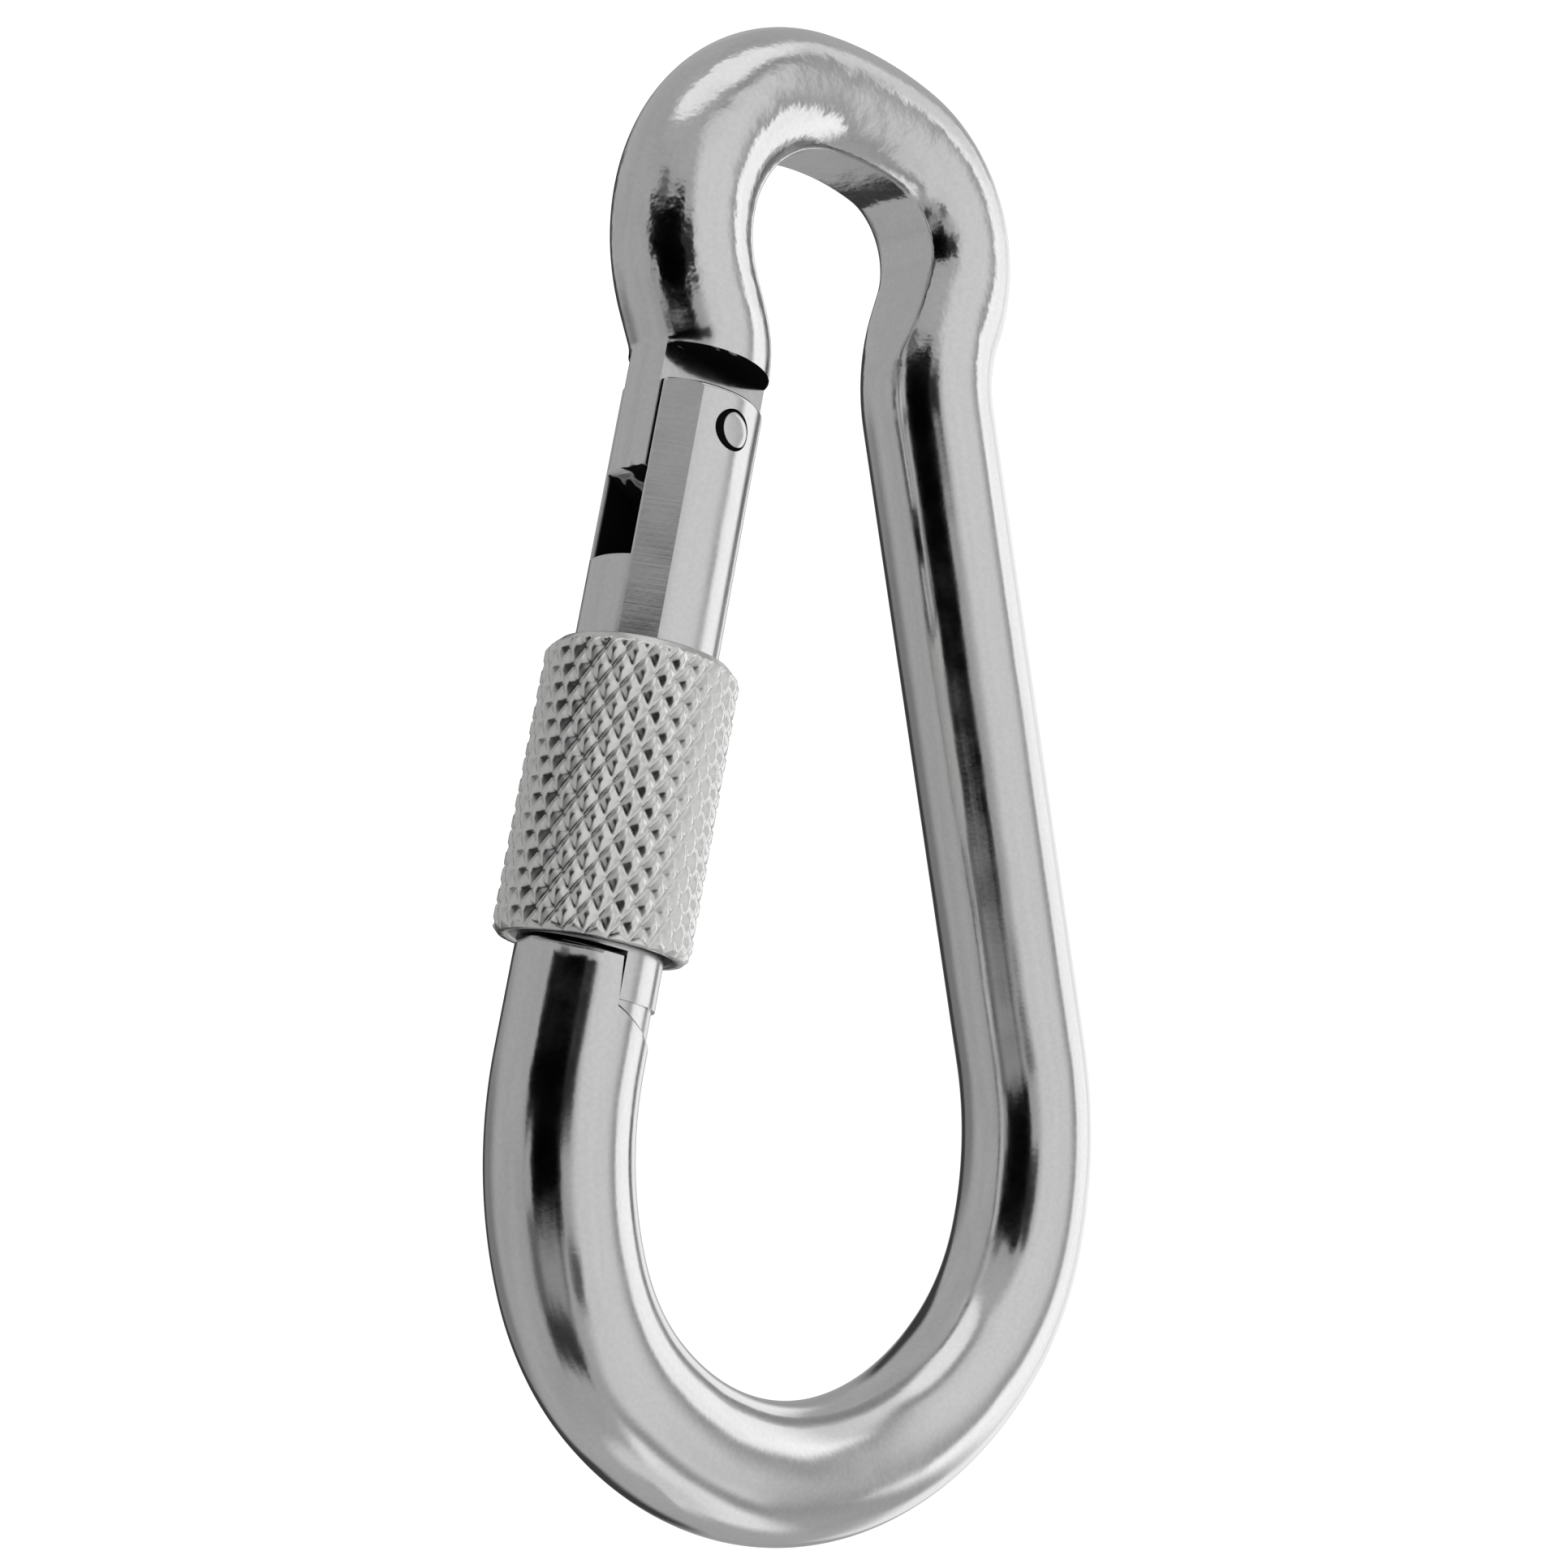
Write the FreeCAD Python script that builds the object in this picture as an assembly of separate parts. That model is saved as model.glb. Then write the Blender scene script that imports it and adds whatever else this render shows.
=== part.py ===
"""Pear-shaped snap hook with a sprung gate and a knurled screw nut.

The hook is bent from one round steel bar in the XZ plane. Z runs along its length, with the
small head bow at the top. X runs across it, with the gate at -X and the closed spine at +X.
Y is the thickness. The origin is the seat at the top of the head bow, where a load hangs from.
All sizes are in millimetres and all angles in degrees.

The gate limb has a frame of its own: its z runs up the limb axis from the point where the lower
bow ends, its x points into the hook and its y is the hook's y.
"""
import FreeCAD
import Part
import math
import os

V = FreeCAD.Vector

# ---- the bar and its bends -------------------------------------------------------------
BAR_D = 11.0
LIMB_LEAN = 12.5            # both limbs lean inwards by this much
BOTTOM_BEND = (26.5, 45.5)  # radius of the bar's axis, turn of one half of the lower bow
CORNER_BEND = (20.7, 28.0)
FLANK_BEND = (31.0, 90.0 + LIMB_LEAN - BOTTOM_BEND[1] - CORNER_BEND[1])
GATE_LIMB = 54.2            # straight limb on the gate side, up to the hinge shoulder
GATE_NECK = (6.0, 33.0)
GATE_NECK_RUN = 2.35
SPINE_NECK = (13.0, 33.5)
SPINE_NECK_RUN = 2.1
HEAD_GATE_BEND = 13.5       # radius of the head bow on the gate side
HEAD_SPINE_BEND = (9.9, 92.0)
HEAD_TOP_BEND = 27.8
HEAD_FLAT = 0.85            # how far the inside of the head bow is pressed flat
HEAD_RUNOUT = 9.0           # straight end of the pressing, longer than it takes to leave the bar

# ---- hinge, measured up the gate limb --------------------------------------------------
PIVOT = 48.4
RIVET_D = 3.2
RIVET_GRIP_GAP = 0.02       # rivet to cheek, on the radius
RIVET_RUN_GAP = 0.05        # rivet to tongue, on the radius
TONGUE_T = 4.2
TONGUE_HEEL = 6.0           # pivot to the flat of the spring plunger, gate shut
GATE_TOP = 51.4
CHEEK_ROUND = 2.4           # inner top corner of the cheeks
CHEEK_RIM = 0.45            # rounding of the rim at the top of the cheeks
SHOULDER_ROUND = 0.25       # rounding at the end of the full bar at the hinge
SLOT_END = 37.2
SLOT_GAP = 0.1              # each side of the tongue
SLOT_WALL = 1.6             # wall left on the inner side of the slot, below the pivot
SLOT_OPEN_BELOW = 6.7       # the slot is open right through down to this far below the pivot
FACET_ANGLE = 137.0         # seen along the limb, from the inward direction
FACET_DEPTH = 0.2
FACET_END = 24.0
SLOT_EASE = 0.2             # rounding of the slot's long outer edges
TONGUE_EASE = 0.15          # rounding of the tongue's long outer edges

# ---- latch, measured up the gate limb --------------------------------------------------
NUT_REST = 8.4              # lower rim of the nut with the nut screwed right up
NUT_LENGTH = 22.4
NUT_D = 14.8
NUT_CHAMFER = 0.9           # upper rim
NUT_TOE = 0.5               # chamfer of the lower rim
NOSE_GAP = 0.06             # swing clearance between the nut's rim and the nose
NOSE_BEVEL = 0.4
LAP_GAP = 0.05
LAP_PLANE = -0.9            # where the lap is split, from the limb axis
LAP_LEDGE = 4.2             # ledge under the lip, at the lap plane
LAP_RAMP = 24.7             # slope of the ledge
LIP_GAP = 0.15
LIP_TOE = 4.6               # the lip steps back a little below this
LIP_TOE_STEP = 0.25
RIB_AT = 6.3
RIB_H = 0.8
RIB_L = 1.1
RIB_W = 7.2                 # narrower than the bar, so the rib is hidden in the shut lap
RIB_GAP = 0.12

# ---- screw thread ----------------------------------------------------------------------
THREAD_PITCH = 1.0
THREAD_DEPTH = 0.5
THREAD_FOOT = 0.84          # width of a ridge at its foot
THREAD_GAP = 0.06           # crest to crest, on the radius
BORE_GAP = 0.25             # upper bore of the nut over the bar, on the radius
NOSE_BORE_GAP = 0.6         # lower bore of the nut over the nose, on the radius
THREAD_LOW = 12.4
THREAD_TOP = 24.4
NUT_THREAD_LOW = 10.2       # above the nut's lower rim
NUT_THREAD_LENGTH = 5.6

# ---- gate spring -----------------------------------------------------------------------
SPRING_OFFSET = 1.8         # bore axis from the limb axis, inwards
SPRING_BORE_D = 3.6
PLUNGER_D = 3.4
PLUNGER_LENGTH = 7.6
PLUNGER_PIP_D = 1.5
PLUNGER_PIP_LENGTH = 1.4
SPRING_D = 3.2
SPRING_WIRE = 0.5
SPRING_LENGTH = 8.2
SPRING_TURNS = 8

BAR_R = BAR_D / 2


# ---- planar paths ----------------------------------------------------------------------
def trace(runs, start=V(0, 0, 0), heading=0.0):
    """Edges in the XZ plane from runs: a number is a straight, (radius, turn) a bend.

    A positive turn is anticlockwise, seen with X to the right and Z up.
    """
    edges = []
    point = start
    for run in runs:
        if isinstance(run, tuple):
            radius, turn = run
            side = math.copysign(1.0, turn)
            centre = point + direction(heading + 90 * side) * radius
            stops = [centre - direction(heading + 90 * side + turn * part) * radius
                     for part in (0.5, 1.0)]
            edges.append(Part.Arc(point, stops[0], stops[1]).toShape())
            point = stops[1]
            heading += turn
        elif run > 0:
            stop = point + direction(heading) * run
            edges.append(Part.makeLine(point, stop))
            point = stop
    return edges, point


def direction(angle):
    """Unit vector in the XZ plane, anticlockwise from +X."""
    return V(math.cos(math.radians(angle)), 0, math.sin(math.radians(angle)))


def mirrored(point):
    return V(-point.x, point.y, point.z)


LOWER_BOW = [BOTTOM_BEND, CORNER_BEND, FLANK_BEND]
HEAD_GATE_TURN = 90 - LIMB_LEAN + GATE_NECK[1]
HEAD_TOP_TURN = 90 - LIMB_LEAN + SPINE_NECK[1] - HEAD_SPINE_BEND[1]
GATE_HEAD = [(GATE_NECK[0], -GATE_NECK[1]), GATE_NECK_RUN, (HEAD_GATE_BEND, HEAD_GATE_TURN)]
SPINE_HEAD = [(SPINE_NECK[0], -SPINE_NECK[1]), SPINE_NECK_RUN, HEAD_SPINE_BEND,
              (HEAD_TOP_BEND, HEAD_TOP_TURN)]


def limb_and_crown():
    """Length of the spine's straight limb, and of the short straight at the crown."""
    gate_top = mirrored(trace(LOWER_BOW + [GATE_LIMB] + GATE_HEAD)[1])
    spine_top = trace(LOWER_BOW + SPINE_HEAD)[1]
    limb = (gate_top.z - spine_top.z) / math.cos(math.radians(LIMB_LEAN))
    crown = spine_top.x - limb * math.sin(math.radians(LIMB_LEAN)) - gate_top.x
    return limb, crown


SPINE_LIMB, CROWN = limb_and_crown()
CROWN_POINT = trace(LOWER_BOW + [SPINE_LIMB] + SPINE_HEAD)[1]
SEAT_DROP = BAR_R - HEAD_FLAT
BOTTOM_START = V(0, 0, SEAT_DROP - CROWN_POINT.z)
GATE_FOOT = mirrored(trace(LOWER_BOW, BOTTOM_START)[1])
GATE_FRAME = FreeCAD.Placement(GATE_FOOT, FreeCAD.Rotation(V(0, 1, 0), LIMB_LEAN))


def on_limb(shape):
    """The same shape, moved from the gate limb's frame to the hook's."""
    placed = shape.copy()
    placed.transformShape(GATE_FRAME.toMatrix())
    return placed


# ---- small solids in the gate limb's frame ---------------------------------------------
def block(x0, x1, y0, y1, z0, z1):
    return Part.makeBox(x1 - x0, y1 - y0, z1 - z0, V(x0, y0, z0))


def bar(radius, z0, z1, x=0.0):
    return Part.makeCylinder(radius, z1 - z0, V(x, 0, z0))


def across(radius, half_width, z=PIVOT):
    """Cylinder along y, centred on the hinge axis unless z says otherwise."""
    return Part.makeCylinder(radius, 2 * half_width, V(0, -half_width, z), V(0, 1, 0))


def extruded(points, half_width):
    """Prism along y from points (x, z) of its outline."""
    ring = [V(x, -half_width, z) for x, z in points]
    face = Part.Face(Part.makePolygon(ring + ring[:1]))
    return face.extrude(V(0, 2 * half_width, 0))


def helical_ridge(radius, depth, z0, z1):
    """V-shaped ridge that winds up the limb axis; depth points away from radius."""
    height = z1 - z0
    helix = Part.makeHelix(THREAD_PITCH, height, radius)
    half = THREAD_FOOT / 2
    corners = [V(radius, 0, -half), V(radius + depth, 0, 0), V(radius, 0, half)]
    profile = Part.makePolygon(corners + corners[:1])
    ridge = Part.Wire(helix.Edges).makePipeShell([profile], True, True)
    ridge.translate(V(0, 0, z0))
    return ridge


# ---- hook body -------------------------------------------------------------------------
def bent_bar():
    """The round bar, from the hinge shoulder over the head and round to the nose."""
    upper = trace([SPINE_LIMB] + SPINE_HEAD + [CROWN], *bow_end())[0]
    gate_bow = [mirror_edge(edge) for edge in trace(LOWER_BOW + [NUT_REST + 1], BOTTOM_START)[0]]
    gate_head = [mirror_edge(edge) for edge in trace(GATE_HEAD, *gate_shoulder())[0]]
    lower = trace(LOWER_BOW, BOTTOM_START)[0]
    ordered = gate_bow[::-1] + lower + upper + gate_head[::-1]
    path = Part.Wire(Part.__sortEdges__(ordered))
    start = path.OrderedVertexes[0].Point
    first = path.OrderedEdges[0]
    tangent = first.tangentAt(first.FirstParameter)
    profile = Part.Wire(Part.makeCircle(BAR_R, start, tangent))
    return path.makePipeShell([profile], True, False)


def mirror_edge(edge):
    return edge.mirror(V(0, 0, 0), V(1, 0, 0))


def bow_end():
    """Where the spine's straight limb starts, and its heading."""
    return trace(LOWER_BOW, BOTTOM_START)[1], 90 + LIMB_LEAN


def gate_shoulder():
    """Mirror image of the hinge shoulder on the limb axis, and its heading."""
    return trace(LOWER_BOW + [GATE_LIMB], BOTTOM_START)[1], 90 + LIMB_LEAN


def head_mandrel():
    """Prism that presses the inside of the head bow flat and runs out straight at the spine's neck."""
    inset = BAR_R - HEAD_FLAT
    neck_end = trace(LOWER_BOW + [SPINE_LIMB] + SPINE_HEAD[:2], BOTTOM_START)[1]
    heading = 90 + LIMB_LEAN - SPINE_NECK[1]
    start = neck_end + direction(heading + 90) * inset - direction(heading) * HEAD_RUNOUT
    runs = [HEAD_RUNOUT, (HEAD_SPINE_BEND[0] - inset, HEAD_SPINE_BEND[1]),
            (HEAD_TOP_BEND - inset, HEAD_TOP_TURN), CROWN, (HEAD_GATE_BEND - inset, HEAD_GATE_TURN)]
    edges, stop = trace(runs, start, heading)
    outline = Part.Wire(edges + [Part.makeLine(stop, start)])
    prism = Part.Face(outline).extrude(V(0, 2 * BAR_D, 0))
    prism.translate(V(0, -BAR_D, 0))
    return prism


def eased(solid, radius, chosen, frame=FreeCAD.Placement()):
    """The solid with the edges rounded whose middles, seen in the frame, are chosen."""
    to_frame = frame.inverse()
    edges = [edge for edge in solid.Edges if chosen(to_frame.multVec(edge.CenterOfMass))]
    return solid.makeFillet(radius, edges)


def heel_outline():
    """Points of the tongue's heel, an involute that keeps the plunger's push at one offset."""
    points = []
    for angle in range(0, 41, 4):
        turn = math.radians(angle)
        reach = TONGUE_HEEL + SPRING_OFFSET * turn
        points.append((reach * math.sin(turn) + SPRING_OFFSET * math.cos(turn),
                       -reach * math.cos(turn) + SPRING_OFFSET * math.sin(turn)))
    return points


def tongue():
    """Flat tongue of the hook, with its heel and rivet hole."""
    heel = [V(x, 0, PIVOT + z) for x, z in heel_outline()]
    curve = Part.BSplineCurve()
    curve.interpolate(heel)
    corners = [heel[0], V(-2.0, 0, heel[0].z), V(-BAR_R - 1, 0, heel[0].z + 2.2),
               V(-BAR_R - 1, 0, GATE_LIMB + 0.4), V(BAR_R + 1, 0, GATE_LIMB + 0.4),
               V(BAR_R + 1, 0, heel[-1].z), heel[-1]]
    outline = Part.Wire(Part.makePolygon(corners).Edges + [curve.toShape()])
    plate = Part.Face(outline).extrude(V(0, TONGUE_T, 0))
    plate.translate(V(0, -TONGUE_T / 2, 0))
    plate = plate.common(bar(BAR_R, PIVOT - 2 * TONGUE_HEEL, GATE_LIMB))
    plate = plate.cut(across(RIVET_D / 2 + RIVET_RUN_GAP, TONGUE_T))
    return eased(plate, TONGUE_EASE, lambda middle: middle.x < -4.9 and abs(middle.y) > TONGUE_T / 2 - 0.01)


def swing_radius():
    """Furthest reach of the nut's lower rim from the hinge axis."""
    rim = NUT_D / 2 - NUT_TOE
    return math.hypot(PIVOT - NUT_REST, rim)


def ramp_z(x, gap=0.0):
    """Height of the lap's sloping ledge at x."""
    return LAP_LEDGE + gap - (x - LAP_PLANE) * math.tan(math.radians(LAP_RAMP))


def rim_round(end, size, side):
    """Ring that rounds the bar's rim at a height. Side is 1 for a rim that faces up the limb."""
    inner = V(BAR_R - size, 0, end)
    outer = V(BAR_R, 0, end - side * size)
    slant = math.sqrt(0.5) * size
    middle = V(BAR_R - size + slant, 0, end - side * (size - slant))
    corners = [outer, V(BAR_R + 1, 0, outer.z), V(BAR_R + 1, 0, end + side), V(inner.x, 0, end + side), inner]
    outline = Part.Wire([Part.Arc(inner, middle, outer).toShape()] + Part.makePolygon(corners).Edges)
    return Part.Face(outline).revolve(V(0, 0, 0), V(0, 0, 1), 360)


def nose_bevel():
    """Ring taken off the outer edge of the nose's end."""
    foot = PIVOT - math.sqrt((swing_radius() + NOSE_GAP) ** 2 - BAR_R ** 2) - NOSE_BEVEL
    keep = Part.makeCone(BAR_R + 0.5, BAR_R - 2.0, 2.5, V(0, 0, foot - 0.5))
    return bar(BAR_R + 1, foot, foot + 1.9).cut(keep)


def above_ramp(x0, gap):
    """Prism over the sloping ledge, on the inner side of x0."""
    far = BAR_D
    return extruded([(x0, ramp_z(x0, gap)), (far, ramp_z(far, gap)), (far, NUT_REST + 3),
                     (x0, NUT_REST + 3)], BAR_D)


def hook_body():
    body = bent_bar()
    body = body.cut(head_mandrel())
    cutters = [above_ramp(LAP_PLANE, 0.0),
               across(swing_radius() + NOSE_GAP, BAR_D),
               nose_bevel(),
               block(LAP_PLANE - RIB_H - RIB_GAP, LAP_PLANE + 1, -RIB_W / 2 - RIB_GAP, RIB_W / 2 + RIB_GAP,
                     RIB_AT - RIB_L / 2 - RIB_GAP, RIB_AT + RIB_L / 2 + RIB_GAP)]
    nose_zone = block(-BAR_D, BAR_D, -BAR_D, BAR_D, -BAR_D, NUT_REST + 4)
    for cutter in cutters:
        body = body.cut(on_limb(cutter.common(nose_zone)))
    shoulder = rim_round(GATE_LIMB, SHOULDER_ROUND, -1)
    shoulder = shoulder.cut(block(-2 * BAR_D, 2 * BAR_D, -TONGUE_T / 2, TONGUE_T / 2, PIVOT, GATE_LIMB + 1))
    return body.cut(on_limb(shoulder)).fuse(on_limb(tongue())).removeSplitter()


# ---- gate ------------------------------------------------------------------------------
def hinge_slot():
    """Slot for the tongue, open outwards, with a wall on the inner side below the hinge."""
    half = TONGUE_T / 2 + SLOT_GAP
    through = PIVOT - SLOT_OPEN_BELOW
    upper = block(-BAR_D, BAR_D, -half, half, through, GATE_TOP + 1)
    lower = block(-BAR_D, BAR_R - SLOT_WALL, -half, half, SLOT_END, through + 1)
    return upper.fuse(lower)


def facet(side):
    """Shallow flat along the outer side of the bar, in front for side -1 or behind for 1."""
    middle = math.radians(FACET_ANGLE)
    normal = V(math.cos(middle), side * math.sin(middle), 0)
    slab = Part.makeBox(4, BAR_D, GATE_TOP - FACET_END + 2, V(BAR_R - FACET_DEPTH, -BAR_R, FACET_END))
    slab.rotate(V(0, 0, 0), V(0, 0, 1), math.degrees(math.atan2(normal.y, normal.x)))
    return slab


def threaded_bar():
    """The gate's bar with its screw thread cut into the lower end."""
    groove = helical_ridge(BAR_R + 0.05, -THREAD_DEPTH - 0.05, THREAD_LOW, THREAD_TOP - THREAD_PITCH / 2)
    return bar(BAR_R, 0.0, GATE_TOP).cut(groove)


def rounded_top():
    """What the rounded inner corner takes off the top of the cheeks."""
    x = BAR_R - CHEEK_ROUND
    z = GATE_TOP - CHEEK_ROUND
    corner = block(x, BAR_D, -BAR_D, BAR_D, z, GATE_TOP + 1)
    return corner.cut(Part.makeCylinder(CHEEK_ROUND, 2 * BAR_D, V(x, -BAR_D, z), V(0, 1, 0)))


def lip_rib():
    """Rib across the lap that carries the load when the gate is shut."""
    return block(LAP_PLANE - RIB_H, 0, -RIB_W / 2, RIB_W / 2, RIB_AT - RIB_L / 2, RIB_AT + RIB_L / 2)


def lip_toe():
    """What is taken off all round the end of the lip."""
    return block(-BAR_D, BAR_D, -BAR_D, BAR_D, -1, LIP_TOE).cut(bar(BAR_R - LIP_TOE_STEP, -2, LIP_TOE + 1))


def gate():
    shank = across(swing_radius() + NOSE_GAP - 0.3, BAR_D)
    lip = above_ramp(LAP_PLANE + LAP_GAP, LIP_GAP)
    body = threaded_bar().common(shank.fuse(lip)).cut(lip_toe()).fuse(lip_rib())
    bore_floor = PIVOT - TONGUE_HEEL - PLUNGER_LENGTH - SPRING_LENGTH
    for cutter in (rounded_top(), hinge_slot(), facet(-1), facet(1), rim_round(GATE_TOP, CHEEK_RIM, 1),
                   across(RIVET_D / 2 + RIVET_GRIP_GAP, BAR_D),
                   bar(SPRING_BORE_D / 2, bore_floor, SLOT_END + 1, SPRING_OFFSET)):
        body = body.cut(cutter)
    return eased(on_limb(body).removeSplitter(), SLOT_EASE, on_slot_edge, GATE_FRAME)


def on_slot_edge(middle):
    """True for the long outer edges of the hinge slot."""
    on_wall = abs(abs(middle.y) - TONGUE_T / 2 - SLOT_GAP) < 0.01
    return on_wall and middle.x < -4.8 and SLOT_END < middle.z < GATE_TOP - CHEEK_RIM


# ---- pieces carried by the gate --------------------------------------------------------
def hinge_rivet():
    pin = across(RIVET_D / 2, BAR_R - 0.02)
    return on_limb(pin.makeChamfer(0.15, ring_edges(pin)))


def ring_edges(solid):
    return [edge for edge in solid.Edges if edge.Curve.TypeId == "Part::GeomCircle"]


def spring_plunger():
    top = PIVOT - TONGUE_HEEL - 0.02
    foot = top - PLUNGER_LENGTH
    pin = bar(PLUNGER_D / 2, foot, top, SPRING_OFFSET)
    pin = pin.makeChamfer(0.2, ring_edges(pin))
    pip = bar(PLUNGER_PIP_D / 2, foot - PLUNGER_PIP_LENGTH, foot + 0.5, SPRING_OFFSET)
    return on_limb(pin.fuse(pip))


def gate_spring():
    """Coil between the bore's floor and the plunger's foot, drawn at its length with the gate shut."""
    top = PIVOT - TONGUE_HEEL - PLUNGER_LENGTH - 0.05
    height = SPRING_LENGTH - SPRING_WIRE - 0.15
    mean = (SPRING_D - SPRING_WIRE) / 2
    helix = Part.makeHelix(height / SPRING_TURNS, height, mean)
    profile = Part.Wire(Part.makeCircle(SPRING_WIRE / 2, V(mean, 0, 0), V(0, 1, 0)))
    coil = Part.Wire(helix.Edges).makePipeShell([profile], True, True)
    coil.translate(V(SPRING_OFFSET, 0, top - SPRING_WIRE / 2 - height))
    return on_limb(coil)


def locking_nut():
    """Sleeve nut: plain bores at both ends and a short internal thread between them."""
    upper = BAR_R + BORE_GAP
    lower = BAR_R + NOSE_BORE_GAP
    crest = BAR_R + THREAD_GAP
    outer = NUT_D / 2
    cut = NUT_CHAMFER
    toe = NUT_TOE
    low = NUT_THREAD_LOW
    high = NUT_THREAD_LOW + NUT_THREAD_LENGTH
    profile = [(lower + 0.2, 0), (outer - toe, 0), (outer, toe), (outer, NUT_LENGTH - cut),
               (outer - cut, NUT_LENGTH), (upper + 0.4, NUT_LENGTH), (upper, NUT_LENGTH - 0.4),
               (upper, high + upper - crest), (crest, high), (crest, low), (lower, low - lower + crest),
               (lower, 0.2)]
    ring = [V(x, 0, z) for x, z in profile]
    sleeve = Part.Face(Part.makePolygon(ring + ring[:1])).revolve(V(0, 0, 0), V(0, 0, 1), 360)
    groove = helical_ridge(crest - 0.05, THREAD_DEPTH + 0.05, low + THREAD_PITCH, high - THREAD_PITCH)
    sleeve = sleeve.cut(groove)
    sleeve.translate(V(0, 0, NUT_REST))
    return on_limb(sleeve)


NODES = {
    "hook_body": hook_body,
    "gate": gate,
    "hinge_rivet": hinge_rivet,
    "gate_spring": gate_spring,
    "spring_plunger": spring_plunger,
    "locking_nut": locking_nut,
}

os.makedirs("parts", exist_ok=True)
for name, make in NODES.items():
    shape = make()
    shape.exportStep(f"parts/{name}.step")
    box = shape.optimalBoundingBox(True, False)
    print(f"{name}: {len(shape.Solids)} solid, valid {shape.isValid()}, {shape.Volume:.1f} mm3, "
          f"x {box.XMin:.2f}..{box.XMax:.2f}, y {box.YMin:.2f}..{box.YMax:.2f}, "
          f"z {box.ZMin:.2f}..{box.ZMax:.2f}")
pivot = GATE_FRAME.multVec(V(0, 0, PIVOT))
print(f"spine limb {SPINE_LIMB:.2f}, crown {CROWN:.2f}, pivot {pivot.x:.3f} {pivot.z:.3f}, "
      f"foot {GATE_FOOT.x:.3f} {GATE_FOOT.z:.3f}, bottom {BOTTOM_START.z:.3f}")
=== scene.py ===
import bpy
import bmesh
import math
from mathutils import Matrix, Vector


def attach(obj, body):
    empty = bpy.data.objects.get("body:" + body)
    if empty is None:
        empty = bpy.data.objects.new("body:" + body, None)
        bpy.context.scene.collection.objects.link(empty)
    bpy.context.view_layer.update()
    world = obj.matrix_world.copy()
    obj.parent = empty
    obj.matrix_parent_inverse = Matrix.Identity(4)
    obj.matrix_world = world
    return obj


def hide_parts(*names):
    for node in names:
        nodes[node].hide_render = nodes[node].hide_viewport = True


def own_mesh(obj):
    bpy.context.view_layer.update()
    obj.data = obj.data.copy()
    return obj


MM = 0.001

# Camera, in mm and degrees.
CAM_TARGET = (-3.374, 0.0, -50.61)
CAM_DISTANCE = 208.68
CAM_AZIMUTH = -43.15
CAM_ELEVATION = -4.34
CAM_ROLL = 0.518
CAM_LENS = 60.95

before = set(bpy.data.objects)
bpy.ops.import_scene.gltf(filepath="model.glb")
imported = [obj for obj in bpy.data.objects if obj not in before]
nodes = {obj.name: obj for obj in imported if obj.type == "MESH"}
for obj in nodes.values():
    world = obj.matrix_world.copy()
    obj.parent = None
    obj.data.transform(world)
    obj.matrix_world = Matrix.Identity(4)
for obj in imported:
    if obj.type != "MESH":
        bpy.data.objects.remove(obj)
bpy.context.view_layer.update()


# ---------------------------------------------------------------- dimensions, mm

BAR_R = 5.5

# The gate limb has a frame of its own: inwards from its axis, across towards +Y, and up it from the foot.
LEAN = math.radians(12.5)
FOOT = Vector((-24.526, 0.0, -72.094))        # foot of the straight limb
ALONG = Vector((math.sin(LEAN), 0.0, math.cos(LEAN)))
INWARD = Vector((math.cos(LEAN), 0.0, -math.sin(LEAN)))

# The bar's axis. Bends are (radius, turn in degrees) and plain numbers are straights.
GATE_LIMB, SPINE_LIMB, CROWN = 54.2, 54.17, 0.25
LOWER_BOW = [(26.5, 45.5), (20.7, 28.0), (31.0, 29.0)]        # one half of the bow; the other mirrors it
# From the hinge shoulder over the head to the spine, then down it and round the bow to the nose.
HEAD_RUNS = [(6.0, 33.0), 2.35, (13.5, -110.5), CROWN, (27.8, -19.0), (9.9, -92.0), 2.1, (13.0, 33.5)]
BOW_RUNS = [SPINE_LIMB] + [(radius, -turn) for radius, turn in LOWER_BOW[::-1] + LOWER_BOW]
HEAD_DEPTH = 0.85                             # the inside of the head is pressed flat by this much
FLAT_START = 1.2                              # length over which the flat begins
RUNOUT = 0.0547                               # how fast it leaves the bar at its other end, 1/mm

PIVOT, RIVET_R, RIVET_END = 48.4, 1.6, 5.48
RIVET_HOLE_R = 1.65
RIVET_HEAD = [(0.5, 0.0), (1.0, 0.02), (1.3, 0.06), (1.48, 0.13), (1.57, 0.21), (RIVET_R, 0.3)]

TONGUE_HALF, TONGUE_END, TONGUE_EASE = 2.1, 42.4, 0.15
SHOULDER_ROUND = 0.25
HEEL_R = 6.0                                  # reach of the tongue's end from the pivot
HEEL_FROM, HEEL_FLAT = 1.8, -2.0              # its involute starts at the one and its slope at the other
HEEL_SLOPE = 2.2 / 4.5
TONGUE_STEPS, SHOULDER_STEPS, NOSE_STEPS = 24, 4, 6
SLOT_HALF, SLOT_END = 2.2, 37.2
FACET_TURN = math.radians(137.0)              # where the gate's facets face, from the inward direction

NOSE_STRAIGHT = 1.5                           # full bar above the limb's foot, below the lap
LAP_PLANE, LAP_LEDGE, LAP_SLOPE = -0.9, 4.2, math.tan(math.radians(24.7))
LAP_POCKET = (-1.82, 5.63, 6.97)              # bottom of the pocket in the lap, and its two sides
LAP_POCKET_HALF = 3.72
NOSE_RADIUS, NOSE_FOOT = 40.651, 7.72         # swing arc that the nose's end follows, and its bevel
EDGE_EASE = 0.12

NUT_REST, NUT_LENGTH, NUT_R = 8.4, 22.4, 7.4
NUT_TOE, NUT_CHAMFER = 0.5, 0.9               # bevels of the lower and the upper rim
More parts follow.
